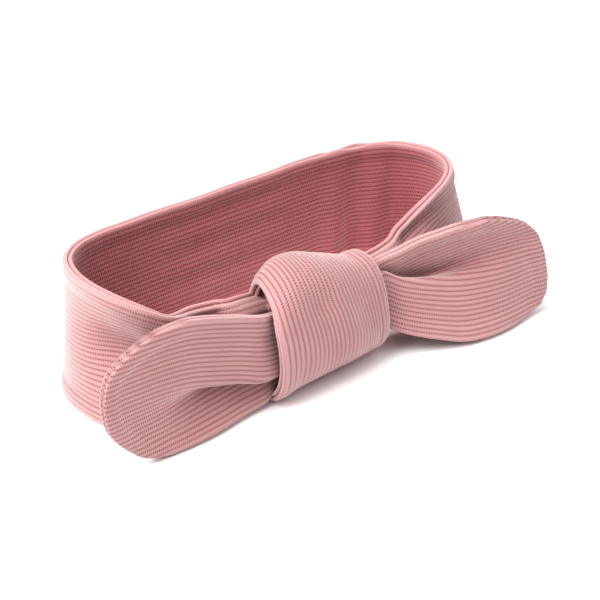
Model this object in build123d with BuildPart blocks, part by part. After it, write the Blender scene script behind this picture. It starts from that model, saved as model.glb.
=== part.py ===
from build123d import *
import math
import os

# Knotted headband: one flat tube of rib knit, closed into a loop and tied in a single knot,
# with two leaf-shaped ends. It stands on its lower edge.
# Frame: millimetres, +Z up, X along the two ends, +Y towards the back of the loop.
# The origin is on the resting surface, under the middle of the whole object.

# ---------------------------------------------------------------- driving dimensions
strip_height = 60.0        # width of the sewn tube, which stands on edge
ply = 1.1                  # one thickness of rib knit
seam_turn = 6.0            # cloth turned in at each sewn edge
thread = 0.3               # thickness of the seam thread between the turned edges
thread_inset = 1.8         # from the sewn edge to the row of stitches
thread_width = 2.4         # width of the row of stitches

loop_left_x = -91.0        # the loop's reach to the left, middle of the cloth
loop_right_x = 96.0        # and to the right
loop_back_y = 44.5         # along the straight back
loop_front_y = -23.5       # along the front left stretch
loop_right_y = 9.7         # where the loop is widest on the right
throat_length = 33.0       # over which the loop narrows into the knot

knot_width = 58.0          # length of the turn over the knot, along X
knot_y = -20.0             # middle of the knot's two ends
knot_end_depth = 32.0      # oval section at the two ends of the turn
knot_end_height = 50.0
knot_belly_y = -21.8       # middle of the knot where it bulges
knot_belly_depth = 42.0    # oval section there
knot_belly_height = 59.0

band_bundle_height = 35.5  # pleated cloth of the loop inside the knot
band_bundle_depth = 7.7
band_bundle_y = 1.7        # its middle, behind the knot's middle
tail_bundle_height = 26.4  # pleated cloth of the tails inside the knot
tail_bundle_depth = 5.8
tail_bundle_y = -6.0       # its middle, in front of the knot's middle
bundle_gap = 1.0           # between the bundles that meet end to end
pleats = 4                 # folds across a bundle

tail_length = 85.0         # from the hinge line to the tip
tail_gap = 2.6             # from the end of the knot to the start of a tail
left_tail_lean = 2.5       # degrees that each tail turns forward from the X axis
right_tail_lean = 8.2
left_tail_y = -33.2        # hinge line of each tail
right_tail_y = -31.0
left_leaf_height = 61.0    # highest and lowest point of each leaf-shaped end
right_leaf_height = 58.0
leaf_foot = 0.4

gap_stitches = 9           # hand stitches that close the turning gap
gap_stitch_pitch = 4.0
gap_stitch_width = 0.6
gap_stitch_slant = 60.0    # degrees

# ---------------------------------------------------------------- worked out from them
half_build = 2 * ply + thread / 2       # half the thickness of the tube at its sewn edges
wall_shift = half_build - ply / 2       # from the middle of the tube to the middle of a wall
turn_shift = thread / 2 + ply / 2       # and to the middle of a turned-in edge
knot_end_x = knot_width / 2
band_bundle_low = (knot_end_height - band_bundle_height) / 2
hinge_x = knot_end_x + tail_gap
reach = 2 * (loop_right_x - loop_left_x)
gap_length = gap_stitches * gap_stitch_pitch

os.makedirs("parts", exist_ok=True)


def finish(node, name):
    """Label a finished sub-part and write it under its own name."""
    node.part.label = name
    export_step(node.part, "parts/" + name + ".step")


# ---------------------------------------------------------------- the loop
def loop_wall(shift, width):
    """A wall of full height and the given width along the loop, moved outwards by shift.
    Both the outer and the inner wall at that distance are drawn, and the longer is the outer."""
    entry_y = knot_y + band_bundle_y
    with BuildPart() as wall:
        with BuildSketch() as plan:
            with BuildLine():
                path = FilletPolyline(
                    (-knot_end_x, entry_y),
                    (-knot_end_x - 12, entry_y),
                    (-knot_end_x - throat_length, loop_front_y),
                    (loop_left_x + 5, loop_front_y - 1),
                    (loop_left_x - 0.5, loop_back_y),
                    (loop_right_x - 6, loop_back_y),
                    (loop_right_x + 3, loop_right_y),
                    (knot_end_x + 27, entry_y - 4),
                    (knot_end_x + 12, entry_y),
                    (knot_end_x, entry_y),
                    radius=[8, 8, 18, 20, 22, 12, 14, 8],
                )
            trace(line_width=2 * abs(shift) + width)
            if shift:
                trace(path, line_width=2 * abs(shift) - width, mode=Mode.SUBTRACT)
        walls = plan.faces().sort_by(SortBy.AREA)
        extrude(walls[-1] if shift > 0 else walls[0], amount=strip_height)
    return wall.part


def loop_side_shape(inset):
    """The space that the loop's cloth fills, seen from the side, drawn in by inset.
    It is a plain slab at the back, and narrows into the knot at the front."""
    low = band_bundle_low + inset
    high = knot_end_height - band_bundle_low - inset
    throat_x = knot_end_x + throat_length
    with BuildPart() as space:
        with BuildSketch(Plane.XZ):
            with BuildLine():
                Polyline(
                    (0, low),
                    (knot_end_x, low),
                    (throat_x, inset),
                    (reach, inset),
                    (reach, strip_height - inset),
                    (throat_x, strip_height - inset),
                    (knot_end_x, high),
                    (0, high),
                )
                mirror(about=Plane.YZ)
            make_face()
        extrude(amount=reach)
        with BuildSketch(Plane.XZ):
            with Locations((0, strip_height / 2)):
                Rectangle(2 * reach, strip_height - 2 * inset)
        extrude(amount=-reach)
    return space.part


loop_outline = loop_side_shape(0)
loop_within_turns = loop_side_shape(seam_turn)
loop_outside_stitches = loop_side_shape(thread_inset)
loop_inside_stitches = loop_side_shape(thread_inset + thread_width)


def loop_layer(shift, width, space):
    """The part of a wall of the loop that lies inside the given space."""
    wall = loop_wall(shift, width)
    with BuildPart() as layer:
        add(wall)
        add(space, mode=Mode.INTERSECT)
    return layer.part


# Each ply is a wall with its two long edges turned in towards the other ply.
for ply_name, outward in (("band_outer_ply", 1), ("band_inner_ply", -1)):
    wall = loop_layer(outward * wall_shift, ply, loop_outline)
    turned_in = loop_layer(outward * turn_shift, ply, loop_outline)
    hollow = loop_layer(outward * turn_shift, ply, loop_within_turns)
    with BuildPart() as band_ply:
        add(wall)
        add(turned_in)
        add(hollow, mode=Mode.SUBTRACT)
    finish(band_ply, ply_name)

stitch_wall = loop_layer(0, thread, loop_outside_stitches)

with BuildPart() as band_top_seam_thread:
    add(stitch_wall)
    add(loop_inside_stitches, mode=Mode.SUBTRACT)
    split(bisect_by=Plane.XY.offset(strip_height / 2), keep=Keep.TOP)
finish(band_top_seam_thread, "band_top_seam_thread")

# The machine stitches stop for a short way at the bottom of the back, where the tube was
# turned right side out.
with BuildPart() as band_bottom_seam_thread:
    add(stitch_wall)
    add(loop_inside_stitches, mode=Mode.SUBTRACT)
    split(bisect_by=Plane.XY.offset(strip_height / 2), keep=Keep.BOTTOM)
    with Locations((0, loop_back_y, 0)):
        Box(gap_length, 2 * half_build, strip_height, mode=Mode.SUBTRACT)
finish(band_bottom_seam_thread, "band_bottom_seam_thread")

# A row of slanted hand stitches closes that gap.
with BuildPart() as turning_gap_stitches:
    with BuildSketch(Plane.XZ.offset(-loop_back_y)):
        with Locations((0, thread_inset + thread_width / 2)):
            with GridLocations(gap_stitch_pitch, 1, gap_stitches, 1):
                SlotOverall(thread_width, gap_stitch_width, rotation=gap_stitch_slant)
    extrude(amount=thread / 2, both=True)
finish(turning_gap_stitches, "turning_gap_stitches")


# ---------------------------------------------------------------- the turn over the knot
def knot_barrel(inset):
    """The knot's oval barrel, drawn in by inset: round-bellied, standing on the surface."""
    end_size = (knot_end_depth / 2, knot_end_height / 2)
    belly_size = (knot_belly_depth / 2, knot_belly_height / 2)
    with BuildPart() as barrel:
        with BuildSketch(Plane.YZ.offset(-knot_end_x)):
            with Locations((knot_y, end_size[1])):
                Ellipse(end_size[0] - inset, end_size[1] - inset)
        with BuildSketch(Plane.YZ):
            with Locations((knot_belly_y, belly_size[1])):
                Ellipse(belly_size[0] - inset, belly_size[1] - inset)
        with BuildSketch(Plane.YZ.offset(knot_end_x)):
            with Locations((knot_y, end_size[1])):
                Ellipse(end_size[0] - inset, end_size[1] - inset)
        loft()
    return barrel.part


def knot_slab(low_x, high_x):
    """A block across the whole knot, between two places along X."""
    with BuildPart() as slab:
        with BuildSketch(Plane.YZ.offset(low_x)):
            Rectangle(reach, reach)
        extrude(amount=high_x - low_x)
    return slab.part


def knot_layer(outside, inside):
    """A shell of the barrel between two insets."""
    outer_barrel = knot_barrel(outside)
    inner_barrel = knot_barrel(inside)
    with BuildPart() as layer:
        add(outer_barrel)
        add(inner_barrel, mode=Mode.SUBTRACT)
    return layer.part


# The same build as the loop, wrapped round: the sewn edges are the knot's two ends.
far_turn = 2 * ply + thread
far_wall = far_turn + ply
between_turns = knot_slab(seam_turn - knot_end_x, knot_end_x - seam_turn)
outer_wall = knot_layer(0, ply)
outer_turned_in = knot_layer(ply, 2 * ply)
inner_turned_in = knot_layer(far_turn, far_wall)
inner_wall = knot_layer(far_wall, far_wall + ply)
stitch_shell = knot_layer(2 * ply, far_turn)

with BuildPart() as knot_wrap_outer_ply:
    add(outer_turned_in)
    add(between_turns, mode=Mode.SUBTRACT)
    add(outer_wall)
finish(knot_wrap_outer_ply, "knot_wrap_outer_ply")

with BuildPart() as knot_wrap_inner_ply:
    add(inner_turned_in)
    add(between_turns, mode=Mode.SUBTRACT)
    add(inner_wall)
finish(knot_wrap_inner_ply, "knot_wrap_inner_ply")

for side_name, side in (("left", -1), ("right", 1)):
    near_edge = side * (knot_end_x - thread_inset)
    far_edge = side * (knot_end_x - thread_inset - thread_width)
    stitch_slab = knot_slab(min(near_edge, far_edge), max(near_edge, far_edge))
    with BuildPart() as knot_wrap_seam_thread:
        add(stitch_shell)
        add(stitch_slab, mode=Mode.INTERSECT)
    finish(knot_wrap_seam_thread, "knot_wrap_" + side_name + "_seam_thread")


# ---------------------------------------------------------------- the cloth inside the knot
def pleat_corners(middle_y, depth, height):
    """Corners of a zigzag that fills a space depth deep and height high, front to back."""
    swing = depth / 2 - ply
    low = knot_end_height / 2 - height / 2 + ply
    rise = (height - 2 * ply) / (2 * pleats)
    return [
        (middle_y + swing * (-1) ** fold, low + rise * fold)
        for fold in range(2 * pleats + 1)
    ]


for side_name, side in (("left", -1), ("right", 1)):
    with BuildPart() as band_gather:
        with BuildSketch(Plane.YZ.offset(side * bundle_gap / 2)):
            with BuildLine():
                FilletPolyline(*pleat_corners(
                    knot_y + band_bundle_y, band_bundle_depth, band_bundle_height
                ), radius=ply)
            trace(line_width=2 * ply)
        extrude(amount=side * (knot_end_x - bundle_gap / 2))
    finish(band_gather, "band_" + side_name + "_gather")

    with BuildPart() as tail_gather:
        with BuildSketch(Plane.YZ.offset(side * bundle_gap / 2)):
            with BuildLine():
                FilletPolyline(*pleat_corners(
                    knot_y + tail_bundle_y, tail_bundle_depth, tail_bundle_height
                ), radius=ply)
            trace(line_width=2 * ply)
        extrude(amount=side * (knot_end_x - bundle_gap / 2))
    finish(tail_gather, side_name + "_tail_gather")


# ---------------------------------------------------------------- the two leaf-shaped ends
# Corners of each leaf's outline, from its root over the top, round the tip and back under:
# shares of the tail's length and of the leaf's height, and the radius that rounds each one
# as a share of that height.
left_leaf = [
    (0.00, 0.71, 0.50),
    (0.52, 1.04, 0.80),
    (0.94, 0.94, 0.30),
    (1.03, 0.55, 0.26),
    (0.76, 0.00, 0.40),
    (0.42, 0.00, 0.80),
    (0.00, 0.14, 0.60),
]
right_leaf = [
    (0.00, 0.75, 0.50),
    (0.30, 1.02, 0.60),
    (0.82, 0.88, 0.60),
    (1.01, 0.50, 0.30),
    (1.02, 0.00, 0.15),
    (0.35, 0.00, 0.80),
    (0.00, 0.15, 0.60),
]


def leaf(side, inset):
    """One end's outline in its own plane, along the tail and up, drawn in by inset.
    The cloth runs on at the root, so the outline is drawn past it before it is cut there."""
    shares = left_leaf if side < 0 else right_leaf
    rise = left_leaf_height if side < 0 else right_leaf_height
    corners = [
        (side * tail_length * along, leaf_foot + (rise - leaf_foot) * up) for along, up, _ in shares
    ]
    past_root = -4 * side * seam_turn
    with BuildSketch() as outline:
        with BuildLine():
            edge = FilletPolyline(
                (past_root, corners[0][1]),
                *corners,
                (past_root, corners[-1][1]),
                radius=[rise * share for _, _, share in shares],
            )
            Line(edge @ 1, edge @ 0)
        make_face()
        if inset:
            offset(amount=-inset)
        with Locations((past_root, strip_height / 2)):
            Rectangle(2 * abs(past_root), 2 * strip_height, mode=Mode.SUBTRACT)
    return outline.sketch


def tail_plane(side, forward):
    """The upright plane of one end, moved forward by the given amount."""
    lean = math.radians(left_tail_lean if side < 0 else right_tail_lean) * side
    start_y = left_tail_y if side < 0 else right_tail_y
    plane = Plane(
        origin=(side * hinge_x, start_y, 0),
        x_dir=(math.cos(lean), -math.sin(lean), 0),
        z_dir=(-math.sin(lean), -math.cos(lean), 0),
    )
    return plane.offset(forward)


for side_name, side in (("left", -1), ("right", 1)):
    whole_leaf = leaf(side, 0)
    within_turn = leaf(side, seam_turn)
    outside_stitches = leaf(side, thread_inset)
    inside_stitches = leaf(side, thread_inset + thread_width)

    for face_name, forward in (("front", 1), ("back", -1)):
        with BuildPart() as tail_ply:
            with BuildSketch(tail_plane(side, forward * thread / 2)):
                add(whole_leaf)
                add(within_turn, mode=Mode.SUBTRACT)
            extrude(amount=forward * ply)
            with BuildSketch(tail_plane(side, forward * (thread / 2 + ply))):
                add(whole_leaf)
            extrude(amount=forward * ply)
        finish(tail_ply, side_name + "_tail_" + face_name + "_ply")

    with BuildPart() as tail_seam_thread:
        with BuildSketch(tail_plane(side, 0)):
            add(outside_stitches)
            add(inside_stitches, mode=Mode.SUBTRACT)
        extrude(amount=thread / 2, both=True)
    finish(tail_seam_thread, side_name + "_tail_seam_thread")
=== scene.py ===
import math

import bmesh
import bpy
import numpy as np
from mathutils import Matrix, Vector


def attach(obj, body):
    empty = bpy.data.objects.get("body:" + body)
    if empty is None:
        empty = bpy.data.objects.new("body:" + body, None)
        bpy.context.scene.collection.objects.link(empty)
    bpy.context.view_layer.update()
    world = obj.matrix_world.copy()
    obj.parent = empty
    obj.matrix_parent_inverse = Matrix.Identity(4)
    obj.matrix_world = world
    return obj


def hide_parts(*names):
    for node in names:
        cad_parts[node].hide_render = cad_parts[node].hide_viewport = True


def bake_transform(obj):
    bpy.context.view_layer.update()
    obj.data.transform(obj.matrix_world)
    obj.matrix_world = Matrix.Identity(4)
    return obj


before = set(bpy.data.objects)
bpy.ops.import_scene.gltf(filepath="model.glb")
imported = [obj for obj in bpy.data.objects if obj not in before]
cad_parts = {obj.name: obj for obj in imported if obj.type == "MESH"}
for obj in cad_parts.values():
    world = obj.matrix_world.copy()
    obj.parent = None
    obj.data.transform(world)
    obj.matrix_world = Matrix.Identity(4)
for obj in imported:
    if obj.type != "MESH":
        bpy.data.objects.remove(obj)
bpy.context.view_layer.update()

# Knotted headband in fine rib knit. Lengths are in millimetres in the CAD frame until a mesh
# is written, which is in metres: +Z up, +X towards the right tail, +Y towards the back.

# ---------------------------------------------------------------- the cloth
STRIP = 60.0          # width of the sewn tube
RIBS = 29             # whole ribs across one side, from edge to edge
RELIEF = 0.22         # height of a rib above its groove
STITCH = 0.95         # length of one knit stitch along a rib
EDGE = 1.1            # radius of each ply's rounded, turned-in edge
THICK_EDGE = 2 * EDGE  # a ply with its turned-in seam allowance
THICK_MID = 1.25      # a ply between the seam allowances
TURN = 6.0            # width of the seam allowance
ROUND = EDGE * (math.pi / 2 - 1)          # extra cloth in the rounded edge
CLOTH_WIDTH = STRIP + 2 * ROUND           # of one ply, measured over its rounded edges
RIB = CLOTH_WIDTH / RIBS                  # from one rib to the next, 2.1 mm


def ease(x, low, high):
    """0 below low, 1 above high, and a smooth S between them."""
    t = np.clip((x - low) / (high - low), 0.0, 1.0)
    return t * t * (3.0 - 2.0 * t)


def along(x, stations, values):
    """A smooth curve through values at stations: cubic pieces whose slope at each station is
    the mean slope of its neighbours."""
    stations = np.asarray(stations, float)
    values = np.asarray(values, float)
    slopes = np.gradient(values, stations, axis=0)
    x = np.clip(x, stations[0], stations[-1])
    i = np.clip(np.searchsorted(stations, x, side="right") - 1, 0, len(stations) - 2)
    gap = (stations[i + 1] - stations[i])
    t = (x - stations[i]) / gap
    if values.ndim > 1:
        gap = gap[..., None]
        t = t[..., None]
    return (
        (1 + 2 * t) * (1 - t) ** 2 * values[i]
        + t * (1 - t) ** 2 * gap * slopes[i]
        + t * t * (3 - 2 * t) * values[i + 1]
        + t * t * (t - 1) * gap * slopes[i + 1]
    )


def cloth_coordinate(v):
    """Distance across the cloth for a place v across the strip: the same as v in the middle,
    and the length of the rounded edge near both sides."""
    depth = np.minimum(v, STRIP - v)
    from_edge = EDGE * np.arccos(1 - np.clip(depth, 0, EDGE) / EDGE) + np.maximum(depth - EDGE, 0)
    return np.where(v < STRIP / 2, from_edge, STRIP + 2 * ROUND - from_edge)


def rib_height(v):
    """Rounded ribs with narrow grooves: the 0.45th power of a cosine, a crest on each edge."""
    return RELIEF * np.abs(np.cos(math.pi * cloth_coordinate(v) / RIB)) ** 0.45


def samples_across():
    """Places across the strip, as shares of its width: close together round the edges, and
    six to a rib between them."""
    rim = EDGE * (1 - np.cos(np.linspace(0, math.pi / 2, 6)))
    count = int(round((STRIP - 2 * EDGE) / (RIB / 6)))
    middle = np.linspace(EDGE, STRIP - EDGE, count + 1)[1:-1]
    return np.concatenate([rim, middle, STRIP - rim[::-1]]) / STRIP


def unit(a):
    """Vectors divided by their length."""
    return a / np.maximum(np.linalg.norm(a, axis=-1, keepdims=True), 1e-12)


def grid_normals(points):
    """Normals of a grid of points, from its differences along and across."""
    return unit(np.cross(np.gradient(points, axis=0), np.gradient(points, axis=1)))


# ---------------------------------------------------------------- cloth meshes
def rim_depths(flat, outline):
    """Distance of flat points from the nearest place on a flat outline, a chain of points."""
    start = outline[:-1]
    step = outline[1:] - start
    length2 = np.maximum((step ** 2).sum(1), 1e-12)
    points = flat.reshape(-1, 2)
    nearest = np.full(len(points), 1e9)
    for block in np.array_split(np.arange(len(start)), max(1, len(start) // 40)):
        offset = points[:, None, :] - start[None, block]
        share = np.clip((offset * step[block]).sum(2) / length2[block], 0, 1)
        gap = offset - share[..., None] * step[block]
        nearest = np.minimum(nearest, np.sqrt((gap ** 2).sum(2)).min(1))
    return nearest.reshape(flat.shape[:-1])


def ply_sides(middle, normals, v, depth, side):
    """The seen and the hidden side of one ply of the tube. The seen side is the tube's middle
    surface moved along its normal by the ply's thickness less the depth of the rib's groove,
    and both sides meet in a rounded edge, a half circle of radius EDGE."""
    inside = np.clip(depth, 0, EDGE)
    curve = np.sqrt(np.maximum(EDGE ** 2 - (EDGE - inside) ** 2, 0))
    flat_part = THICK_EDGE + (THICK_MID - THICK_EDGE) * ease(depth, TURN - 2.0, TURN + 2.5)
    seen = np.where(depth < EDGE, EDGE + curve, flat_part)
    seen = seen - (RELIEF - rib_height(v)) * (0.3 + 0.7 * curve / EDGE) * ease(depth, -0.3, 0.5)
    hidden = EDGE - curve + 0.04 * ease(depth, 0.0, EDGE)
    return middle + side * normals * seen[..., None], middle + side * normals * hidden[..., None]


def end_cap(seen_row, hidden_row, kept, at_start):
    """Triangles between the end row of the fine side and the end row of the coarse side."""
    fine = np.arange(len(seen_row) - 1)
    under = np.searchsorted(kept, fine, side="right") - 1
    one = np.stack([seen_row[fine], seen_row[fine + 1], hidden_row[under]], 1)
    two = np.stack([hidden_row[:-1], seen_row[kept[1:]], hidden_row[1:]], 1)
    caps = np.concatenate([one, two])
    # Where both sides share their edge, a triangle has two corners in one place: it is left out.
    a, b, c = caps.T
    caps = caps[(a != b) & (b != c) & (a != c)]
    return caps[:, ::-1] if at_start else caps


def ply_piece(name, middle, normals, u, v, depth, side, ends):
    """One ply of the tube as a closed skin. Its seen side has every column, its hidden side one
    column in eight. ends says how the rows end: 'cut' both ends, 'tip' for a last row that is
    the leaf's edge, or 'ring' for cloth that goes all the way round.
    The UV map 'cloth' holds metres along the ribs and across them."""
    seen, hidden = ply_sides(middle, normals, v, depth, side)
    rows, columns = depth.shape
    rim = np.arange(6)
    kept = np.unique(np.concatenate([rim, np.arange(6, columns - 6, 8), columns - 1 - rim]))
    points = np.concatenate([seen.reshape(-1, 3), hidden[:, kept[1:-1]].reshape(-1, 3)])
    front = np.arange(rows * columns).reshape(rows, columns)
    inner = rows * columns + np.arange(rows * (len(kept) - 2)).reshape(rows, -1)
    back = np.concatenate([front[:, :1], inner, front[:, -1:]], axis=1)
    across = cloth_coordinate(v)
    flat = np.stack([u, across], -1)
    flat_back = flat[:, kept]
    if ends == "ring":
        front = np.concatenate([front, front[:1]])
        back = np.concatenate([back, back[:1]])
        again = flat[:1] + [2 * u[-1, 0] - u[-2, 0] - u[0, 0], 0.0]
        flat = np.concatenate([flat, again])
        flat_back = np.concatenate([flat_back, again[:, kept]])

    def quads(grid):
        return np.stack([grid[:-1, :-1], grid[1:, :-1], grid[1:, 1:], grid[:-1, 1:]], 2)

    def corners(grid):
        return quads(grid).reshape(-1, 4, *grid.shape[2:])

    # At a leaf's edge the coarse side's last row is left out, and the fine side's takes its place.
    last = -1 if ends == "tip" else None
    faces = [corners(front), corners(back[:last])[:, ::-1]]
    maps = [corners(flat), corners(flat_back[:last])[:, ::-1]]
    caps = []
    if ends != "ring":
        caps = [end_cap(front[0], back[0], kept, True),
                end_cap(front[-1], back[-2 if ends == "tip" else -1], kept, False)]
    faces = np.concatenate(faces)
    maps = np.concatenate(maps).reshape(-1, 2)
    caps = np.concatenate(caps) if caps else np.zeros((0, 3), int)
    if len(caps):
        everywhere = np.concatenate([flat[:rows].reshape(-1, 2), flat_back[:rows, 1:-1].reshape(-1, 2)])
        maps = np.concatenate([maps, everywhere[caps.ravel()]])
    return closed_mesh(name, points, faces, caps, maps, turned=side < 0)


def closed_mesh(name, points, quads, triangles, flat, turned):
    """A mesh object from millimetre points, quads, triangles and each corner's place on the
    flat cloth. turned swaps the two sides of every face."""
    mesh = bpy.data.meshes.new(name)
    mesh.from_pydata((points * 0.001).tolist(), [], quads.tolist() + triangles.tolist())
    layer = mesh.uv_layers.new(name="cloth")
    layer.data.foreach_set("uv", (flat * 0.001).astype(np.float32).ravel())
    mesh.polygons.foreach_set("use_smooth", np.ones(len(mesh.polygons), bool))
    if turned:
        mesh.flip_normals()
    mesh.update()
    piece = bpy.data.objects.new(name, mesh)
    bpy.context.collection.objects.link(piece)
    return piece


# ---------------------------------------------------------------- the loop
# Stations along the loop, from inside the knot round by the left and the back to the knot:
# the plan of the cloth's middle at its top edge, the heights of its top and bottom edge, how
# far the bottom edge stands out, the inward dent at half height, and the side folds' depth.
LOOP = np.array([
    # x      y      top   low   out   dent  fold
    (-26.0, -18.4, 43.0,  8.5,  0.0,  0.0,  0.0),
    (-33.0, -18.8, 44.0,  7.5,  0.0,  0.0,  0.0),
    (-41.0, -19.4, 45.0,  5.5,  0.0,  0.0,  0.3),
    (-50.0, -18.8, 45.6,  3.0,  0.5,  0.5,  1.0),
    (-58.0, -18.4, 46.4,  1.2,  1.0,  1.5,  0.9),
    (-65.0, -19.6, 48.2,  0.4,  1.5,  4.5,  0.4),
    (-72.0, -21.0, 51.2,  0.2,  2.0,  9.0,  0.0),
    (-79.0, -18.6, 55.6,  0.2,  2.5,  9.0,  0.0),
    (-85.2, -12.2, 58.8,  0.2,  3.0, 10.0,  0.0),
    (-89.2,  -3.0, 60.0,  0.2,  3.5,  7.5,  0.0),
    (-90.8,   8.0, 60.0,  0.2,  4.5,  2.0,  0.0),
    (-90.4,  18.0, 60.0,  0.2,  5.0,  0.0,  0.0),
    (-86.8,  28.5, 60.0,  0.2,  4.5,  0.0,  0.0),
    (-79.5,  35.0, 60.0,  0.2,  2.5,  0.0,  0.0),
    (-68.0,  38.6, 60.0,  0.2,  1.0,  0.0,  0.0),
    (-50.0,  40.2, 60.0,  0.2,  0.5,  0.0,  0.0),
    (-30.0,  41.6, 60.0,  0.2,  0.0,  0.0,  0.0),
    ( -8.0,  43.0, 60.0,  0.2,  0.0,  0.0,  0.0),
    ( 18.0,  44.0, 60.0,  0.2,  0.0,  0.0,  0.0),
    ( 44.0,  44.4, 60.0,  0.2,  0.5,  0.0,  0.0),
    ( 64.0,  43.2, 60.0,  0.2,  1.5,  0.0,  0.0),
    ( 76.0,  40.2, 60.0,  0.2,  4.0,  0.0,  0.0),
    ( 85.4,  35.0, 60.0,  0.2,  8.0,  0.0,  0.0),
    ( 91.0,  27.5, 60.0,  0.2, 13.5,  0.0,  0.0),
    ( 93.2,  19.0, 60.0,  0.2, 17.0,  0.0,  0.0),
    ( 92.0,  10.0, 60.0,  0.2, 17.0,  0.0,  0.0),
    ( 87.4,   1.6, 60.0,  0.2, 12.0,  0.0,  0.0),
    ( 78.0,  -6.5, 59.6,  0.2,  8.0,  0.0,  0.2),
    ( 66.0, -12.8, 58.0,  0.8,  5.0,  0.5,  0.6),
    ( 56.0, -16.0, 54.0,  2.0,  2.5,  0.5,  1.0),
    ( 47.0, -17.8, 49.5,  4.0,  0.5,  0.0,  1.0),
    ( 40.0, -18.6, 46.0,  6.0,  0.0,  0.0,  0.3),
    ( 33.0, -18.8, 44.0,  7.5,  0.0,  0.0,  0.0),
    ( 26.0, -18.4, 43.0,  8.5,  0.0,  0.0,  0.0),
])


def fold_angle(share):
    """How steeply wavy cloth has to lean to take up only this share of its width: the mean
    cosine of a sine wave of angles is 1 - A^2/4 + A^4/64, solved for A."""
    slack = np.clip(1 - share, 0, 0.7)
    return np.sqrt(32 * (0.25 - np.sqrt(np.maximum(0.0625 - slack / 16, 0))))


def loop_surface(stations, v):
    """Middle surface of the loop at distances along it and across it. Every section is a wavy
    line from the bottom edge to the top edge, found by adding up the cosine and the sine of
    its lean, with four pleats near the knot and two folds further out."""
    chords = np.concatenate([[0], np.cumsum(np.linalg.norm(np.diff(LOOP[:, :2], axis=0), axis=1))])
    path = along(stations, chords, LOOP)
    x, y, top, low, out, dent, fold = (path[:, [i]] for i in range(7))
    slope = np.gradient(path[:, :2], stations, axis=0)
    outward = -unit(np.stack([slope[:, 1], -slope[:, 0]], 1))[:, None, :]
    share = v[None, :] / STRIP
    top = top + 0.25 * np.sin(stations / 17.0)[:, None] + 0.12 * np.sin(stations / 6.1 + 1.0)[:, None]
    angle = fold_angle((top - low) / STRIP)
    near = 1 - ease(np.abs(x), 36, 50)
    lean = angle * (
        near * np.sin(2 * math.pi * 4 * share + 0.6)
        + (1 - near) * fold * np.sin(2 * math.pi * 2 * share + 0.9)
    )
    gaps = np.diff(v, prepend=v[0])[None, :]
    height = np.cumsum(np.cos(lean) * gaps, axis=1)
    swing = np.cumsum(np.sin(lean) * gaps, axis=1)
    swing = swing - swing.mean(axis=1, keepdims=True)
    height = low + (top - low) * height / height[:, -1:]
    ripple = ease(x, 40, 55) * (1 - ease(x, 78, 88)) * ease(y, 30, 38) * (1 - share) ** 0.5
    ripple = 1.7 * ripple * np.sin((x - 40) / 3.4)
    bow = np.sin(math.pi * share ** 1.15) ** 3
    stand = out * (1 - share) - dent * bow
    offset = swing + stand + ripple
    ground = np.concatenate([x, y], axis=1)[:, None, :] + outward * offset[..., None]
    return np.concatenate([ground, height[..., None]], axis=2), chords[-1]


# ---------------------------------------------------------------- the turn over the knot
KNOT_CENTRE_X = -1.6  # middle of the wrap along X
KNOT_HALF = 26.6      # half of its width
KNOT_ROUND = 2.45     # power of the oval: 2 is an ellipse, more is squarer
WRAP_LENGTH = 142.0   # cloth once round the knot
# From the left end to the right end: the section's middle, its reach to the front and to the
# back of it, its half height, and how far it is lifted off the table.
KNOT_SHARES = [-1.0, -0.72, -0.25, 0.30, 0.75, 1.0]
KNOT_SECTION = [
    (-25.0, 17.8, 11.8, 26.2, 0.5),
    (-24.0, 19.4, 15.0, 28.9, 0.6),
    (-22.6, 20.0, 17.2, 29.0, 1.2),
    (-21.8, 18.8, 16.4, 26.2, 2.0),
    (-21.0, 16.2, 14.4, 23.6, 2.6),
    (-20.4, 14.0, 13.6, 22.8, 3.0),
]


def wrap_surface(turn, v):
    """Middle surface of the turn over the knot. Each section is an oval, |y/a|^n + |z/b|^n = 1
    in polar form, with one half axis to the front and another to the back. The cloth goes
    round a little askew, so its ribs drift along X as they go, its left edge is pulled out over
    the front, and soft upright folds run down the front."""
    turn = turn[:, None]
    share = v[None, :] / STRIP
    t = 2 * share - 1
    front = np.cos(turn)          # 1 at the front, -1 at the back
    up = np.sin(turn)
    inset = 2.2
    middle, ahead, behind, height, lift = (
        along(t, KNOT_SHARES, row) for row in np.transpose(KNOT_SECTION)
    )
    height = height - inset
    depth = np.where(front > 0, ahead, behind) - inset
    radius = (np.abs(front / depth) ** KNOT_ROUND + np.abs(up / height) ** KNOT_ROUND) ** (-1 / KNOT_ROUND)
    askew = up * 0.75 - front * 0.55
    lobe = np.exp(-((turn - 2.0) / 0.42) ** 2) * (1 - share) ** 3
    pulled = 6.0 * ease(np.cos(turn + 0.20), -0.55, 0.75) * (1 - share) ** 1.5
    x = KNOT_CENTRE_X + KNOT_HALF * t - 2.4 * askew - 3.4 * askew * (1 - t ** 2) + 1.5 * lobe - pulled
    dimple = np.exp(-((x + 10) / 8) ** 2 - ((turn - 0.72) / 0.26) ** 2)
    folds = np.sin(2 * math.pi * 2.3 * share + 0.8 * turn) * ease(np.cos(turn - 0.25), 0.35, 0.95)
    radius = radius - 1.5 * dimple + 1.2 * lobe + 0.3 * np.sin(3 * turn + 5 * share)
    radius = radius + 0.55 * folds * (1 - t ** 2)
    y = middle - radius * front
    z = lift + height + inset + radius * up
    return np.stack([x + 0 * y, y, z], -1)


# ---------------------------------------------------------------- the two leaf-shaped ends
TAIL_START = 25.0     # distance of each end's root from the knot's middle


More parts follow.
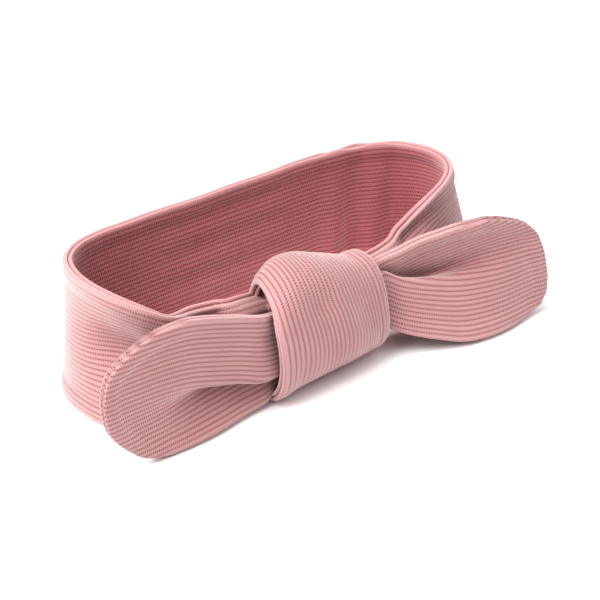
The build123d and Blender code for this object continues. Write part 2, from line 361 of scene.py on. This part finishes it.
def folded_end(side, u, v, edge_path, stations, first_width, hidden_width, leans, anchored_top):
    """Middle surface of one end, on a grid of places along it and across it. Each section
    starts at the anchored edge and adds up its direction: three zones, of which the middle one
    is folded back by up to a half turn near the knot and opens flat towards the tip.
    leans holds the angles of the three zones from upright, in degrees, at the stations."""
    path = along(u, stations, edge_path)
    first, middle, last = (along(u, stations, row)[:, None] for row in leans)
    from_edge = (STRIP - v if anchored_top else v)[None, :]
    fold_one = along(u, stations, first_width)[:, None]
    fold_two = fold_one + along(u, stations, hidden_width)[:, None]
    crisp = 2.6 + 4.0 * ease(u, 22, 70)[:, None]
    to_middle = ease(from_edge, fold_one - crisp, fold_one + crisp)
    to_last = ease(from_edge, fold_two - crisp, fold_two + crisp)
    lean = np.radians(first + (middle - first) * to_middle + (last - middle) * to_last)
    order = np.argsort(from_edge[0])
    gaps = np.diff(from_edge[0][order], prepend=0.0)[None, :]
    back = np.empty_like(lean)
    rise = np.empty_like(lean)
    back[:, order] = np.cumsum(np.sin(lean[:, order]) * gaps, axis=1)
    rise[:, order] = np.cumsum(np.cos(lean[:, order]) * gaps, axis=1)
    if anchored_top:
        rise = -rise
    x = side * (TAIL_START + u)[:, None] + 0 * back
    y = path[:, :1] + back
    z = path[:, 1:] + rise
    return np.stack([x, y, z], -1)


def placed(table, table_u, table_v, u, v):
    """Values of a grid at any places on it, straight between its four nearest entries."""
    row = np.clip(np.searchsorted(table_u, u, side="right") - 1, 0, len(table_u) - 2)
    column = np.clip(np.searchsorted(table_v, v, side="right") - 1, 0, len(table_v) - 2)
    down = ((u - table_u[row]) / (table_u[row + 1] - table_u[row]))[..., None]
    right = ((v - table_v[column]) / (table_v[column + 1] - table_v[column]))[..., None]
    near = table[row, column] * (1 - right) + table[row, column + 1] * right
    far = table[row + 1, column] * (1 - right) + table[row + 1, column + 1] * right
    return near * (1 - down) + far * down


LEFT_STATIONS = [0, 4, 11, 25, 39, 48, 58, 75, 92]
LEFT_EDGE = [(-29.5, 41.0), (-30.3, 42.0), (-32.8, 44.5), (-35.2, 50.4), (-35.8, 55.2),
             (-36.2, 57.6), (-36.5, 58.7), (-36.6, 58.8), (-36.6, 58.8)]
LEFT_FAR = [5.5, 4.4, 2.4, 1.4, 1.2, 0.8, 0.6, 0.6, 0.6]
LEFT_LEANS = (
    [-11, -10, -6, -1, 0, 0, 0, 0, 0],
    [180, 178, 158, 108, 72, 46, 22, 5, 0],
    [0, 0, -10, -24, -28, -20, -10, -3, 0],
)
LEFT_FIRST = [28.0, 28.0, 29, 30, 30.5, 30.5, 30, 30, 30]
LEFT_HIDDEN = [10.5, 10.5, 10.0, 9, 8.5, 8.5, 9, 10, 10]
LEFT_TIP_V = [0, 1.5, 4, 8, 13, 20, 28, 36, 42, 47, 51.5, 55.5, 58.5, 60]
LEFT_TIP_U = [58, 65, 70.5, 75, 79.5, 83.6, 85.5, 85.7, 84.6, 82, 77, 69, 59, 47]

RIGHT_STATIONS = [0, 4, 11, 24, 36, 48, 60, 75, 96]
RIGHT_EDGE = [(-26.6, 15.0), (-27.8, 14.0), (-32.6, 10.5), (-39.8, 6.0), (-43.6, 2.4),
              (-45.2, 1.4), (-44.6, 1.2), (-41.8, 1.0), (-39.5, 0.8)]
RIGHT_FAR = [42.0, 43.0, 45.5, 50.0, 53.0, 55.0, 56.5, 57.5, 57.5]
RIGHT_LEANS = (
    [0, 2, 10, 20, 22, 20, 15, 8, 3],
    [180, 178, 165, 130, 108, 84, 52, 22, 0],
    [0, 0, -8, -16, -20, -20, -14, -6, 0],
)
RIGHT_FIRST = [25, 25, 25, 26, 27, 28, 29, 30, 30]
RIGHT_HIDDEN = [15.5, 15.5, 12.5, 9.5, 8, 7, 7, 7, 7]
RIGHT_TIP_V = [0, 2, 6, 13, 24, 34, 40, 46, 52, 56.5, 59, 60]
RIGHT_TIP_U = [62, 77, 83.8, 86.2, 85.4, 83.2, 80.8, 75, 65, 55, 47, 38]


def tail_table(side):
    """The middle surface of one end on a plain rectangle of cloth, and its normals."""
    v = samples_across() * STRIP
    if side < 0:
        u = np.linspace(0, 92, 260)
        surface = folded_end(side, u, v, LEFT_EDGE, LEFT_STATIONS, LEFT_FIRST, LEFT_HIDDEN,
                             LEFT_LEANS, True)
        far = along(u, LEFT_STATIONS, LEFT_FAR)
        start, end = surface[:, -1:, 2], surface[:, :1, 2]
    else:
        u = np.linspace(0, 96, 260)
        surface = folded_end(side, u, v, RIGHT_EDGE, RIGHT_STATIONS, RIGHT_FIRST, RIGHT_HIDDEN,
                             RIGHT_LEANS, False)
        far = along(u, RIGHT_STATIONS, RIGHT_FAR)
        start, end = surface[:, :1, 2], surface[:, -1:, 2]
    # The far edge is brought to its own height by stretching each section a little.
    surface[..., 2] = start + (surface[..., 2] - start) * (far[:, None] - start) / (end - start)
    return u, v, surface, grid_normals(surface)


def tip_reach(side, v):
    """Length of the cloth at each place across it: a rounded, leaf-shaped end."""
    if side < 0:
        return along(v, LEFT_TIP_V, LEFT_TIP_U)
    return along(v, RIGHT_TIP_V, RIGHT_TIP_U)


def tail_grid(side):
    """Flat places of one end's mesh: even rows from the root, and close ones at the tip."""
    v = samples_across() * STRIP
    reach = tip_reach(side, v)
    close = np.array([3.4, 2.4, 1.6, 1.1, 0.75, 0.48, 0.27, 0.12, 0.03, 0.0])
    even = np.linspace(0, 1, 92)[:-1, None] * (reach - close[0])[None, :]
    u = np.concatenate([even, reach[None, :] - close[:, None]])
    across = np.broadcast_to(v, u.shape)
    outline_v = np.linspace(0, STRIP, 400)
    ends = np.array([[-40.0, 0.0], [-40.0, STRIP]])
    outline = np.concatenate([ends[:1], np.stack([tip_reach(side, outline_v), outline_v], 1), ends[1:]])
    depth = rim_depths(np.stack([u, across], -1), outline)
    depth[-1] = 0.0
    return u, across, depth, outline


# ---------------------------------------------------------------- threads and pleats
THREAD = 0.22         # radius of the seam thread
THREAD_DEPTH = 0.75   # how deep it lies in the groove between the two plies
MACHINE_STITCH = 2.6  # length of one machine stitch
PLEAT_END = 0.5       # distance from the knot's middle where the pleated cloth stops
PLEAT_RISE = 5.0      # how far the top of each bundle goes up inside the knot
TAIL_PLEAT_SHIFT = 3.5   # how far an end's bundle goes back, towards the loop's
BAND_PLEAT_SHIFT = -1.5  # and the loop's bundle forwards


def strand_piece(name, paths):
    """Threads, each a tube of eight sides that rises and dips once a stitch. paths holds for
    each its points, the directions it weaves in and across, and True if it is a closed ring."""
    points, quads, ends = [], [], []
    count = 0
    turn = np.linspace(0, 2 * math.pi, 8, endpoint=False)
    for centre, weave, across, ring in paths:
        run = np.concatenate([[0], np.cumsum(np.linalg.norm(np.diff(centre, axis=0), axis=1))])
        stitch = np.sin(2 * math.pi * run / MACHINE_STITCH)[:, None]
        centre = centre + 0.05 * weave * stitch
        tube = centre[:, None, :] + THREAD * (1 + 0.12 * stitch[:, :, None]) * (
            np.cos(turn)[None, :, None] * weave[:, None, :]
            + np.sin(turn)[None, :, None] * across[:, None, :]
        )
        index = count + np.arange(tube.shape[0] * 8).reshape(-1, 8)
        index = np.concatenate([index, index[:, :1]], axis=1)
        if ring:
            index = np.concatenate([index, index[:1]])
        else:
            ends += [index[0, :8].tolist(), index[-1, :8].tolist()[::-1]]
        corners = [index[:-1, :-1], index[:-1, 1:], index[1:, 1:], index[1:, :-1]]
        quads.append(np.stack(corners, 2).reshape(-1, 4))
        points.append(tube.reshape(-1, 3))
        count += tube.shape[0] * 8
    points = np.concatenate(points)
    return plain_piece(name, points, np.concatenate(quads).tolist() + ends)


def plain_piece(name, points, faces, flat=None):
    """A closed mesh object from millimetre points and faces, turned to face outwards."""
    mesh = bpy.data.meshes.new(name)
    mesh.from_pydata((points * 0.001).tolist(), [], faces)
    if flat is not None:
        corner = np.empty(len(mesh.loops), np.int32)
        mesh.loops.foreach_get("vertex_index", corner)
        layer = mesh.uv_layers.new(name="cloth")
        layer.data.foreach_set("uv", (flat[corner] * 0.001).astype(np.float32).ravel())
    mesh.polygons.foreach_set("use_smooth", np.ones(len(mesh.polygons), bool))
    work = bmesh.new()
    work.from_mesh(mesh)
    bmesh.ops.recalc_face_normals(work, faces=work.faces)
    work.to_mesh(mesh)
    work.free()
    piece = bpy.data.objects.new(name, mesh)
    bpy.context.collection.objects.link(piece)
    return piece


def bundle_piece(name, section, normals, v, start_x, end_x, shift, rise):
    """The pleated cloth inside the knot: both plies of one section, carried along X. Over its
    first few millimetres it moves by shift along Y, towards the other bundle, and its top goes
    up by rise, so that the knot is packed full."""
    half = half_build(v)[:, None]
    loop = np.concatenate([section + normals * half, (section - normals * half)[::-1]])
    stations = np.linspace(start_x, end_x, 14)
    points = np.repeat(loop[None], len(stations), axis=0)
    points[..., 0] = stations[:, None]
    inward = ease(np.abs(stations - start_x), 0.0, 6.0)[:, None]
    low, high = loop[:, 2].min(), loop[:, 2].max()
    points[..., 1] += shift * inward
    points[..., 2] += rise * inward * ((loop[:, 2] - low) / (high - low))[None, :]
    count = len(loop)
    index = np.arange(len(stations) * count).reshape(len(stations), count)
    around = np.concatenate([index, index[:, :1]], axis=1)
    quads = np.stack([around[:-1, :-1], around[1:, :-1], around[1:, 1:], around[:-1, 1:]], 2).reshape(-1, 4)
    cross = np.arange(count // 2 - 1)
    caps = [
        np.stack([row[cross], row[cross + 1], row[count - 2 - cross], row[count - 1 - cross]], 1)
        for row in (index[0], index[-1][::-1])
    ]
    across = np.concatenate([cloth_coordinate(v), cloth_coordinate(v)[::-1]])
    flat = np.stack(np.broadcast_arrays(stations[:, None], across[None, :]), -1).reshape(-1, 2)
    faces = np.concatenate([quads, *caps]).tolist()
    return plain_piece(name, points.reshape(-1, 3), faces, flat)


def half_build(v):
    """Half the tube's thickness at each place across it, with its ribs and rounded edges."""
    depth = np.minimum(v, STRIP - v)
    inside = np.clip(depth, 0, EDGE)
    rounded = np.sqrt(np.maximum(EDGE ** 2 - (EDGE - inside) ** 2, 0))
    return np.where(depth < EDGE, rounded, THICK_MID) - (RELIEF - rib_height(v)) * rounded / EDGE


# ---------------------------------------------------------------- materials
def linear(code):
    """An sRGB hex colour as linear red, green, blue and a full alpha."""
    channels = [int(code[i:i + 2], 16) / 255 for i in (0, 2, 4)]
    return tuple(c / 12.92 if c <= 0.04045 else ((c + 0.055) / 1.055) ** 2.4 for c in channels) + (1.0,)


def add(tree, kind, inputs=None, **settings):
    """A node with its settings, its input values, and its input links where a socket is given."""
    made = tree.nodes.new(kind)
    for name, value in settings.items():
        setattr(made, name, value)
    for name, value in (inputs or {}).items():
        if isinstance(value, bpy.types.NodeSocket):
            tree.links.new(value, made.inputs[name])
        else:
            made.inputs[name].default_value = value
    return made


def new_material(name):
    """An empty node material, and the tree to build it in."""
    material = bpy.data.materials.new(name)
    material.use_nodes = True
    material.node_tree.nodes.clear()
    return material, material.node_tree


RIM_PAINTED_LIGHT = "c5a0a0"     # painted highlight: the paler colour both rims are painted towards, for the light they catch
RIM_LIGHT_START = 0.0265    # metres from the cloth's middle where the painted rim highlight starts
RIM_LIGHT_END = 0.0305      # and where it is at its most
CREST_POWER = 0.34    # the lower, the narrower the grooves


def rib_knit(name, ridge_pale, ridge_deep, groove_shade_colour, bar_shade_colour, bloom):
    """Fine cotton rib jersey, piece-dyed dusky pink: pale, rounded, slightly hairy ribs, and grooves
    painted darker and crossed by one painted dark bar per stitch, both painted shade in the recesses,
    and a soft bloom at grazing angles. The cloth that faces into the loop is given deeper colours and
    less bloom: painted shade that stands in for the dim light in there, since the real dye is probably the
    same."""
    material, tree = new_material(name)
    cloth = add(tree, "ShaderNodeUVMap", uv_map="cloth").outputs[0]
    axes = add(tree, "ShaderNodeSeparateXYZ", {0: cloth})
    math_node = "ShaderNodeMath"
    rib = add(tree, math_node, {0: axes.outputs[1], 1: 1000.0 / RIB}, operation="MULTIPLY").outputs[0]
    stitch = add(tree, math_node, {0: axes.outputs[0], 1: 1000.0 / STITCH}, operation="MULTIPLY").outputs[0]
    # Ribs: the absolute cosine across the cloth, to a low power, is broad on the crests.
    rib_turn = add(tree, math_node, {0: rib, 1: math.pi}, operation="MULTIPLY").outputs[0]
    rib_wave = add(tree, math_node, {0: rib_turn}, operation="COSINE").outputs[0]
    rib_size = add(tree, math_node, {0: rib_wave}, operation="ABSOLUTE").outputs[0]
    crest = add(tree, math_node, {0: rib_size, 1: CREST_POWER}, operation="POWER").outputs[0]
    groove = add(tree, math_node, {0: crest, 1: -1.0, 2: 1.0}, operation="MULTIPLY_ADD").outputs[0]
    # Stitches: one wave along the rib for each; those of the next groove are half a stitch off.
    rib_number = add(tree, math_node, {0: rib}, operation="FLOOR").outputs[0]
    stagger = add(tree, math_node, {0: rib_number, 1: 0.5, 2: stitch}, operation="MULTIPLY_ADD").outputs[0]
    stitch_turn = add(tree, math_node, {0: stagger, 1: 2 * math.pi}, operation="MULTIPLY").outputs[0]
    stitch_wave = add(tree, math_node, {0: stitch_turn}, operation="COSINE").outputs[0]
    beat = add(tree, math_node, {0: stitch_wave, 1: 0.5, 2: 0.5}, operation="MULTIPLY_ADD").outputs[0]
    # The dark bars between stitches, strongest in the grooves, are painted shade in the gaps of the knit.
    deep = add(tree, math_node, {0: groove, 1: 0.9, 2: 0.16}, operation="MULTIPLY_ADD").outputs[0]
    hole_bar_shade = add(tree, math_node, {0: beat, 1: deep}, operation="MULTIPLY").outputs[0]
    place = add(tree, "ShaderNodeTexCoord").outputs["Object"]
    # Fibres are 0.4 mm apart, coarser than real ones so that they show; the dye is uneven over
    # patches of about two centimetres.
    fibre = add(tree, "ShaderNodeTexNoise", {"Vector": place, "Scale": 2600.0, "Detail": 2.0}).outputs[0]
    dye = add(tree, "ShaderNodeTexNoise", {"Vector": place, "Scale": 45.0, "Detail": 3.0}).outputs[0]
    ridge = add(tree, "ShaderNodeMix", {0: dye, 6: linear(ridge_deep), 7: linear(ridge_pale)},
                data_type="RGBA").outputs[2]
    # The grooves are painted darker than the ribs: painted shade in the recesses between them.
    base = add(tree, "ShaderNodeMix", {0: groove, 6: ridge, 7: linear(groove_shade_colour)},
               data_type="RGBA").outputs[2]
    with_bar_shade = add(tree, "ShaderNodeMix", {0: hole_bar_shade, 6: base, 7: linear(bar_shade_colour)},
                data_type="RGBA").outputs[2]
    # Both rims are painted paler over their last few millimetres, a painted highlight for the light
    # they catch; the millimetres are counted in metres from the middle of the cloth.
    from_middle = add(tree, math_node, {0: axes.outputs[1], 1: CLOTH_WIDTH / 2000},
                      operation="SUBTRACT").outputs[0]
    off_middle = add(tree, math_node, {0: from_middle}, operation="ABSOLUTE").outputs[0]
    rim_light_mask = add(tree, "ShaderNodeMapRange", {0: off_middle, 1: RIM_LIGHT_START, 2: RIM_LIGHT_END, 3: 0.0, 4: 0.55},
                 interpolation_type="SMOOTHSTEP").outputs[0]
    with_rim_light = add(tree, "ShaderNodeMix", {0: rim_light_mask, 6: with_bar_shade, 7: linear(RIM_PAINTED_LIGHT)},
               data_type="RGBA").outputs[2]
    knit_loop = add(tree, math_node, {0: beat, 1: crest}, operation="MULTIPLY").outputs[0]
    loop_height = add(tree, math_node, {0: knit_loop, 1: -0.8}, operation="MULTIPLY").outputs[0]
    fibre_height = add(tree, math_node, {0: fibre, 1: 0.5}, operation="MULTIPLY").outputs[0]
    height = add(tree, math_node, {0: fibre_height, 1: loop_height}, operation="ADD").outputs[0]
    bump = add(tree, "ShaderNodeBump", {"Strength": 0.6, "Distance": 0.0003, "Height": height})
    rough = add(tree, math_node, {0: fibre, 1: 0.16, 2: 0.80}, operation="MULTIPLY_ADD").outputs[0]
    shader = add(tree, "ShaderNodeBsdfPrincipled", {
        "Base Color": with_rim_light, "Roughness": rough, "Normal": bump.outputs[0], "IOR": 1.45,
        "Specular IOR Level": 0.5, "Sheen Weight": bloom, "Sheen Roughness": 0.42,
        "Sheen Tint": linear("fff0ee"),
    })
    add(tree, "ShaderNodeOutputMaterial", {0: shader.outputs[0]})
    return material


def spun_thread():
    """Spun polyester sewing thread, dyed to match: two plies twisted together, which gives fine
    slanting bands, with a slightly brighter gloss than the knit."""
    material, tree = new_material("spun_polyester_thread_deep_pink")
    place = add(tree, "ShaderNodeTexCoord").outputs["Object"]
    # A band of the twist every 1.8 mm along an axis, coarser than the real one so that it shows.
    twist = add(tree, "ShaderNodeTexWave", {"Vector": place, "Scale": 350.0, "Distortion": 1.5},
                bands_direction="DIAGONAL").outputs["Fac"]
    colour = add(tree, "ShaderNodeMix", {0: twist, 6: linear("a57375"), 7: linear("855053")},
                 data_type="RGBA").outputs[2]
    bump = add(tree, "ShaderNodeBump", {"Strength": 0.5, "Distance": 0.0001, "Height": twist})
    shader = add(tree, "ShaderNodeBsdfPrincipled", {
        "Base Color": colour, "Roughness": 0.55, "Normal": bump.outputs[0], "IOR": 1.5,
        "Sheen Weight": 0.15,
    })
    add(tree, "ShaderNodeOutputMaterial", {0: shader.outputs[0]})
    return material


def table_card():
    """Smooth white card, matt, under the headband."""
    material, tree = new_material("matt_white_card")
    place = add(tree, "ShaderNodeTexCoord").outputs["Object"]
    grain = add(tree, "ShaderNodeTexNoise", {"Vector": place, "Scale": 900.0}).outputs[0]
    rough = add(tree, "ShaderNodeMath", {0: grain, 1: 0.1, 2: 0.85}, operation="MULTIPLY_ADD").outputs[0]
    shader = add(tree, "ShaderNodeBsdfPrincipled", {
        "Base Color": linear("f7f6f6"), "Roughness": rough, "Specular IOR Level": 0.1,
    })
    add(tree, "ShaderNodeOutputMaterial", {0: shader.outputs[0]})
    return material


# ---------------------------------------------------------------- making the pieces
# The third and fourth colours, for grooves and stitch bars, are painted shade in the knit's recesses.
knit = rib_knit("cotton_rib_jersey_dusky_pink", "bf9a9a", "b38a8b", "915659", "4e1d23", 1.0)
# The loop's inner ply gets deeper colours and less bloom: painted shade for the dim light inside the loop.
inner_knit_painted_shade = rib_knit("cotton_rib_jersey_inner_face_painted_shade", "c68a8d", "bc7a7e", "96484e", "561c24", 0.6)
thread_finish = spun_thread()


def finished(piece, nodes, finish):
    """Give a piece its finish, and hide the CAD nodes that it stands for."""
    piece.data.materials.append(finish)
    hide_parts(*nodes)
    return piece


v_places = samples_across() * STRIP
edge_depth = np.minimum(v_places, STRIP - v_places)

# The loop.
LOOP_ROWS = 300
_, loop_length = loop_surface(np.linspace(0, 1, 3), v_places)
loop_u = np.linspace(0, loop_length, LOOP_ROWS)
loop_middle, _ = loop_surface(loop_u, v_places)
loop_normals = grid_normals(loop_middle)
loop_flat_u = np.broadcast_to(loop_u[:, None], loop_middle.shape[:2])
loop_flat_v = np.broadcast_to(v_places, loop_middle.shape[:2])
loop_depth = np.broadcast_to(edge_depth, loop_middle.shape[:2])
for ply_name, side in (("outer", -1), ("inner", 1)):
    ply = ply_piece("band_" + ply_name + "_knit", loop_middle, loop_normals, loop_flat_u, loop_flat_v,
                    loop_depth, side, "cut")
    finished(ply, ["band_" + ply_name + "_ply"], knit if side < 0 else inner_knit_painted_shade)
    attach(ply, "headband")


def seam_on_grid(table, normals, table_u, table_v, u, v):
    """Centre, weave and across directions of a seam thread at flat places on a grid."""
    centre = placed(table, table_u, table_v, u, v)
    weave = unit(placed(normals, table_u, table_v, u, v))
    run = unit(np.gradient(centre, axis=0))
    return centre, weave, unit(np.cross(run, weave))


seam_u = np.linspace(2, loop_length - 2, 1100)
for edge_name, seam_v in (("top", STRIP - THREAD_DEPTH), ("bottom", THREAD_DEPTH)):
    centre, weave, across = seam_on_grid(loop_middle, loop_normals, loop_u, v_places, seam_u,
                                         np.full(len(seam_u), seam_v))
    if edge_name == "top":
        runs = [(centre, weave, across, False)]
    else:
        # The machine stitches stop for the turning gap, at the middle of the back.
        at_back = (centre[:, 1] > 30) & (np.abs(centre[:, 0]) < 18)
        gap_start, gap_end = np.flatnonzero(at_back)[[0, -1]]
        runs = [(centre[:gap_start], weave[:gap_start], across[:gap_start], False),
                (centre[gap_end:], weave[gap_end:], across[gap_end:], False)]
    seam = strand_piece("band_" + edge_name + "_seam_stitches", runs)
    finished(seam, ["band_" + edge_name + "_seam_thread"], thread_finish)
    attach(seam, "headband")

# Nine slanted hand stitches over the turning gap, each a small arch from ply to ply.
GAP_STITCHES = 9
GAP_PITCH = 4.0
bottom = loop_middle[:, 0]
gap_runs = []
for number in range(GAP_STITCHES):
    x = (number - (GAP_STITCHES - 1) / 2) * GAP_PITCH
    back_rows = np.flatnonzero(bottom[:, 1] > 30)
    nearest = back_rows[np.abs(bottom[back_rows, 0] - x).argmin()]
    out = loop_normals[nearest, 0]
    t = np.linspace(-1, 1, 15)[:, None]
    centre = bottom[nearest] + out * 1.0 * t + np.array([1.3, 0, 0]) * t
    centre[:, 2] = 0.62 - 0.30 * (1 - t[:, 0] ** 2) + 0.25
    run = unit(np.gradient(centre, axis=0))
    weave = unit(np.cross(run, np.array([0, 0, 1.0])))
    gap_runs.append((centre, weave, np.cross(run, weave), False))
hand_stitches = strand_piece("turning_gap_hand_stitches", gap_runs)
finished(hand_stitches, ["turning_gap_stitches"], thread_finish)
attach(hand_stitches, "headband")

# The turn over the knot.
WRAP_ROWS = 220
WRAP_START = 2.2      # the rows start this angle round from the front, out of sight
turns = np.linspace(0, 2 * math.pi, WRAP_ROWS + 1)[:-1] - WRAP_START
wrap_middle = wrap_surface(turns, v_places)
around = np.concatenate([turns[-2:] - 2 * math.pi, turns, turns[:2] + 2 * math.pi])
wrap_normals = grid_normals(wrap_surface(around, v_places))[2:-2]
wrap_along = WRAP_LENGTH * (turns + WRAP_START) / (2 * math.pi)
wrap_flat_u = np.broadcast_to(wrap_along[:, None], wrap_middle.shape[:2])
wrap_flat_v = np.broadcast_to(v_places, wrap_middle.shape[:2])
wrap_depth = np.broadcast_to(edge_depth, wrap_middle.shape[:2])
for ply_name, side in (("outer", -1), ("inner", 1)):
    ply = ply_piece("knot_wrap_" + ply_name + "_knit", wrap_middle, wrap_normals, wrap_flat_u,
                    wrap_flat_v, wrap_depth, side, "ring")
    finished(ply, ["knot_wrap_" + ply_name + "_ply"], knit)
    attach(ply, "headband")
for side_name, column in (("left", THREAD_DEPTH), ("right", STRIP - THREAD_DEPTH)):
    ring_turns = np.linspace(0, 2 * math.pi, 361)[:-1]
    centre, weave, across = seam_on_grid(
        wrap_surface(around, v_places), grid_normals(wrap_surface(around, v_places)), around, v_places,
        ring_turns - WRAP_START, np.full(360, column))
    seam = strand_piece("knot_wrap_" + side_name + "_seam_stitches", [(centre, weave, across, True)])
    finished(seam, ["knot_wrap_" + side_name + "_seam_thread"], thread_finish)
    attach(seam, "headband")

# The two ends.
for side_name, side in (("left", -1), ("right", 1)):
    table_u, table_v, surface, normals = tail_table(side)
    u, v, depth, outline = tail_grid(side)
    middle = placed(surface, table_u, table_v, u, v)
    facing = unit(placed(normals, table_u, table_v, u, v))
    inside = outline[1:-1]
    for face_name, face_side in (("front", side), ("back", -side)):
        ply = ply_piece(side_name + "_tail_" + face_name + "_knit", middle, facing, u, v, depth,
                        face_side, "tip")
        finished(ply, [side_name + "_tail_" + face_name + "_ply"], knit)
        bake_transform(ply)
    # The seam runs along the bottom edge, round the tip and back along the top edge.
    slope = unit(np.gradient(inside, axis=0))
    drawn_in = inside + THREAD_DEPTH * np.stack([-slope[:, 1], slope[:, 0]], 1)
    low = np.stack([np.linspace(1, drawn_in[0, 0], 160), np.full(160, THREAD_DEPTH)], 1)[:-1]
    high = np.stack([np.linspace(drawn_in[-1, 0], 1, 160), np.full(160, STRIP - THREAD_DEPTH)], 1)[1:]
    route = np.concatenate([low, drawn_in, high])
    run = np.concatenate([[0], np.cumsum(np.linalg.norm(np.diff(route, axis=0), axis=1))])
    even = np.linspace(0, run[-1], 620)
    route = np.stack([np.interp(even, run, route[:, i]) for i in (0, 1)], 1)
    centre, weave, across = seam_on_grid(surface, normals, table_u, table_v, route[:, 0], route[:, 1])
    seam = strand_piece(side_name + "_tail_seam_stitches", [(centre, weave, across, False)])
    finished(seam, [side_name + "_tail_seam_thread"], thread_finish)
    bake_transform(seam)
    # The pleats that run on inside the knot.
    bundle = bundle_piece(side_name + "_tail_pleats", surface[0], normals[0], table_v,
                          side * (TAIL_START - 0.2), side * PLEAT_END, TAIL_PLEAT_SHIFT, PLEAT_RISE)
    finished(bundle, [side_name + "_tail_gather"], knit)
    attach(bundle, "headband")
    end_row = 0 if side < 0 else -1
    bundle = bundle_piece("band_" + side_name + "_pleats", loop_middle[end_row], loop_normals[end_row],
                          v_places, side * 25.8, side * PLEAT_END, BAND_PLEAT_SHIFT, PLEAT_RISE)
    finished(bundle, ["band_" + side_name + "_gather"], knit)
    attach(bundle, "headband")

# ---------------------------------------------------------------- floor, light and camera
FLOOR_HALF = 4.0         # metres
FLOOR_HEIGHT = -0.0003   # just under the lowest rounded edge
card = bpy.data.meshes.new("floor_card")
card.from_pydata([(x * FLOOR_HALF, y * FLOOR_HALF, FLOOR_HEIGHT)
                  for x, y in ((-1, -1), (1, -1), (1, 1), (-1, 1))], [], [(0, 1, 2, 3)])
card.materials.append(table_card())
floor = bpy.data.objects.new("floor_card", card)
bpy.context.collection.objects.link(floor)

scene = bpy.context.scene
scene.view_settings.view_transform = "Standard"
scene.view_settings.look = "High Contrast"
world = bpy.data.worlds.new("studio_white")
world.use_nodes = True
world.node_tree.nodes["Background"].inputs[0].default_value = (1.0, 0.985, 0.98, 1.0)
world.node_tree.nodes["Background"].inputs[1].default_value = 0.31
scene.world = world


def soft_box(name, place, aim, width, power):
    """A square studio light at a place, turned towards aim."""
    light = bpy.data.lights.new(name, "AREA")
    light.size = width
    light.energy = power
    lamp = bpy.data.objects.new(name, light)
    lamp.location = place
    lamp.rotation_euler = (Vector(aim) - Vector(place)).to_track_quat("-Z", "Y").to_euler()
    bpy.context.collection.objects.link(lamp)
    return lamp


soft_box("key_from_the_left", (-0.90, 0.02, 1.15), (0.0, 0.0, 0.02), 1.1, 25)
soft_box("fill_from_the_front", (0.1, -0.7, 1.35), (0.0, 0.0, 0.0), 1.5, 11)

AZIMUTH = math.radians(-36)
ELEVATION = math.radians(30.5)
DISTANCE = 0.720
TARGET = Vector((0.027, 0.0292, 0.0))
towards = Vector((
    -math.sin(AZIMUTH) * math.cos(ELEVATION),
    math.cos(AZIMUTH) * math.cos(ELEVATION),
    -math.sin(ELEVATION),
))
camera_data = bpy.data.cameras.new("camera")
camera_data.lens = 96
camera_data.sensor_width = 36
camera = bpy.data.objects.new("camera", camera_data)
camera.location = TARGET - towards * DISTANCE
camera.rotation_euler = towards.to_track_quat("-Z", "Y").to_euler()
bpy.context.collection.objects.link(camera)
scene.camera = camera
